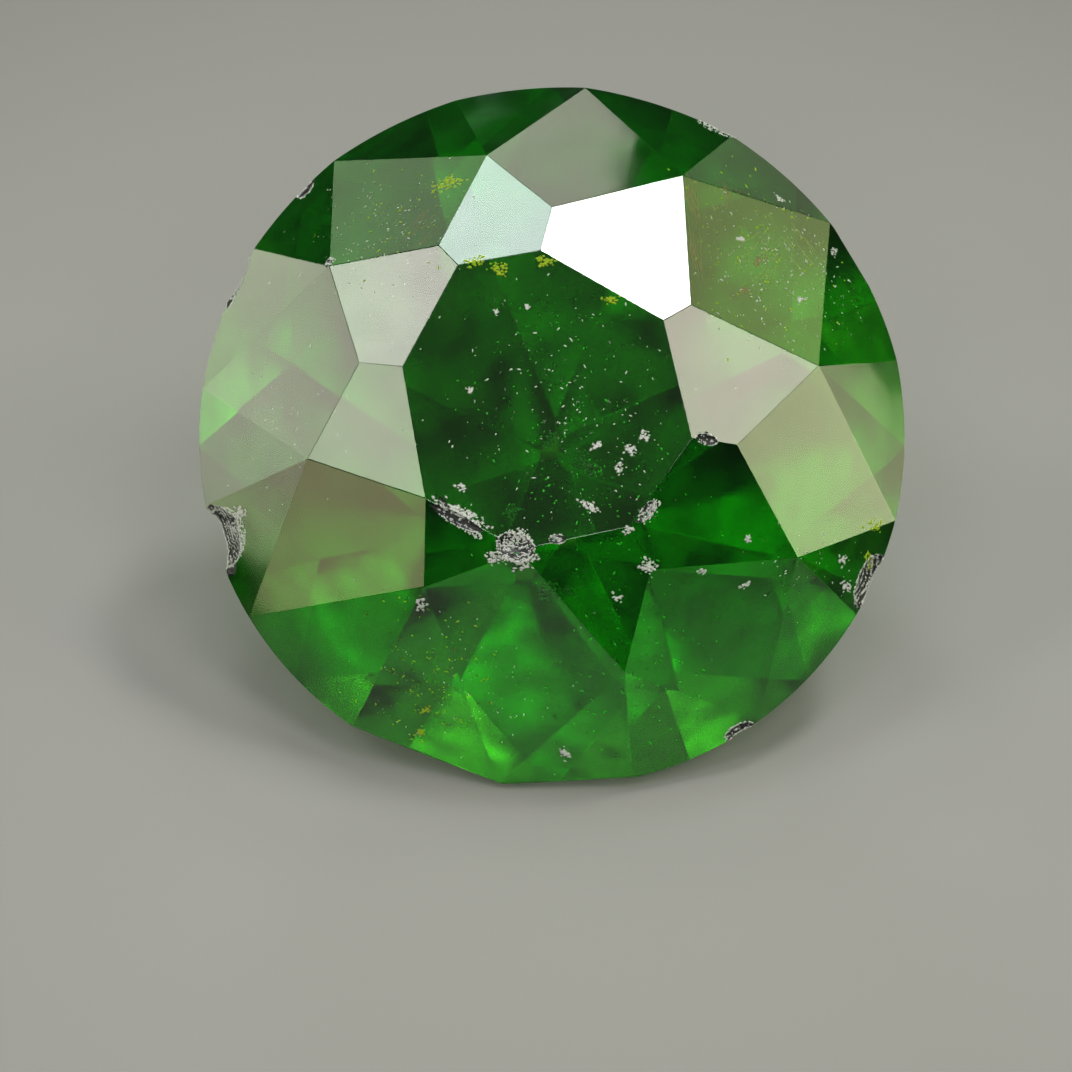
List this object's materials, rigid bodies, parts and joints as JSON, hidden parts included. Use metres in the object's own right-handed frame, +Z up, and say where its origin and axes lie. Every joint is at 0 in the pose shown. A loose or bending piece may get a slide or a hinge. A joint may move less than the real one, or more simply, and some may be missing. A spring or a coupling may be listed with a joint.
{
  "type": "faceted demantoid garnet",
  "caption": "Loose round brilliant-cut demantoid garnet, hand cut with uneven crown facets and a few edge chips, lying on one pavilion facet.",
  "frame": {"origin": "middle of the bounding box in plan, on the surface that the stone lies on", "axes": "+Z up; +X along the widest way across the girdle; -Y towards the side that the table leans to, so the stone's own axis points 42 degrees from +Z towards -Y"},
  "size_m": [0.006, 0.0046, 0.0042],
  "materials": {
    "demantoid": "polished facets, see-through deep green, refractive index 1.88, worn edges and a bruted girdle"
  },
  "bodies": {
    "root": {"garnet": "demantoid"}
  },
  "joints": []
}
